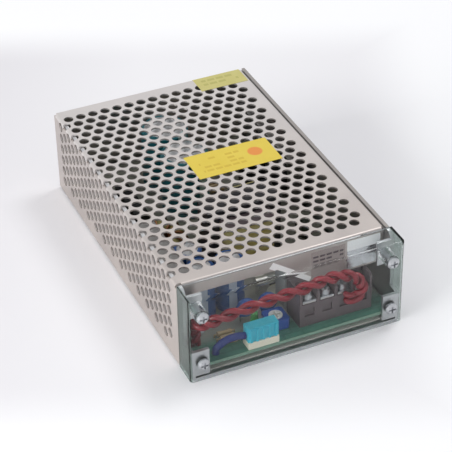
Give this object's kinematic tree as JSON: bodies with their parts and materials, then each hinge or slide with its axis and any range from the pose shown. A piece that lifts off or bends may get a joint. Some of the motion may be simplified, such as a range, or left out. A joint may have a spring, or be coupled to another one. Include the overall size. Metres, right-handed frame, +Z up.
{
  "type": "mesh case switching power supply",
  "caption": "Open-frame switching power supply in a perforated sheet-metal case, with a screw terminal block behind a clear front cover",
  "frame": {"origin": "centre of the rectangle of base mounting holes, on the underside of the chassis", "axes": "+Z up, +Y from the clear terminal cover to the plain rear flange, +X to the right seen from the terminals"},
  "size_m": [0.098, 0.1619, 0.0421],
  "materials": {
    "aluminium_sheet": "mill-finish folded aluminium sheet",
    "plated_steel": "satin nickel-grey plated perforated steel sheet",
    "clear_plastic": "clear moulded polycarbonate",
    "plated_screw": "bright zinc-plated steel",
    "insulating_film": "milky polyester film",
    "board_laminate": "green solder mask over glass laminate",
    "turned_brass": "turned brass",
    "black_moulding": "black moulded plastic, fine texture",
    "tinned_metal": "tin-plated strip",
    "trimmer_blue": "blue moulded plastic",
    "rotor_white": "white moulded plastic",
    "lamp_green": "tinted clear epoxy",
    "header_cream": "natural nylon",
    "plug_cyan": "cyan moulded nylon",
    "lead_blue": "dark blue sleeved lead",
    "wire_red": "red insulated wire",
    "fuse_glass": "clear glass tube",
    "thermistor_coat": "dark dipped coating",
    "film_grey": "grey moulded box",
    "dipped_blue": "blue dipped epoxy",
    "choke_ferrite": "coated ferrite",
    "enamelled_copper": "enamelled copper wire",
    "epoxy_black": "black moulded epoxy",
    "sleeve_teal": "shrunk plastic sleeve over a can",
    "ferrite_grey": "bare ferrite",
    "tape_yellow": "yellow polyester tape",
    "aluminium_plate": "sheared and bent aluminium plate",
    "core_yellow": "painted powder core",
    "sleeve_blue": "shrunk plastic sleeve over a can",
    "sleeve_black": "shrunk plastic sleeve over a can",
    "resistor_ceramic": "white ceramic block",
    "resistor_beige": "beige lacquered resistors with tinned legs",
    "label_yellow": "yellow coated paper sticker",
    "seal_olive": "olive-yellow coated paper seal",
    "label_grey": "sheet-coloured sticker",
    "foil_silver": "embossed metallised foil"
  },
  "bodies": {
    "supply": {"chassis": "aluminium_sheet", "mesh_cover": "plated_steel", "clear_cover": "clear_plastic", "clear_cover_long_screws": "plated_screw", "clear_cover_short_screws": "plated_screw", "cover_screws": "plated_screw", "insulation_sheet": "insulating_film", "circuit_board": "board_laminate", "standoffs": "turned_brass", "board_screws": "plated_screw", "terminal_block": "black_moulding", "terminal_contacts": "tinned_metal", "terminal_screws": "plated_screw", "trimmer_body": "trimmer_blue", "led_indicator": "lamp_green", "plug_header": "header_cream", "control_plug": "plug_cyan", "blue_lead": "lead_blue", "red_wire_front": "wire_red", "red_wire_rear": "wire_red", "fuse_tube": "fuse_glass", "fuse_caps": "tinned_metal", "fuse_clips": "tinned_metal", "inrush_thermistor": "thermistor_coat", "x_capacitor": "film_grey", "y_capacitor_1": "dipped_blue", "y_capacitor_2": "dipped_blue", "line_choke_core": "choke_ferrite", "line_choke_windings": "enamelled_copper", "bridge_rectifier": "epoxy_black", "bulk_capacitor_1": "sleeve_teal", "bulk_capacitor_2": "sleeve_teal", "transformer_core": "ferrite_grey", "transformer_bobbin": "black_moulding", "transformer_winding": "tape_yellow", "driver_core": "ferrite_grey", "driver_coil": "tape_yellow", "main_heatsink": "aluminium_plate", "output_heatsink": "aluminium_plate", "switching_transistor_1": "epoxy_black", "switching_transistor_2": "epoxy_black", "output_rectifier_1": "epoxy_black", "output_rectifier_2": "epoxy_black", "heatsink_screws": "plated_screw", "output_choke_core": "core_yellow", "output_choke_winding": "enamelled_copper", "output_capacitor_1": "sleeve_blue", "output_capacitor_2": "sleeve_blue", "output_capacitor_3": "sleeve_blue", "control_chip": "epoxy_black", "optocoupler": "epoxy_black", "aux_capacitor_1": "sleeve_black", "aux_capacitor_2": "sleeve_black", "load_resistor": "resistor_ceramic", "small_resistors": "resistor_beige", "top_label": "label_yellow", "seal_sticker": "seal_olive", "lip_label": "label_grey", "foil_patch": "foil_silver"},
    "rotor": {"trimmer_rotor": "rotor_white"}
  },
  "joints": [
    {"name": "trimmer_turn", "type": "hinge", "parent": "supply", "child": "rotor", "pos_m": [-0.00395, -0.0654, 0.0091], "axis": [0, 0, 1], "range_deg": [-130, 130]}
  ]
}
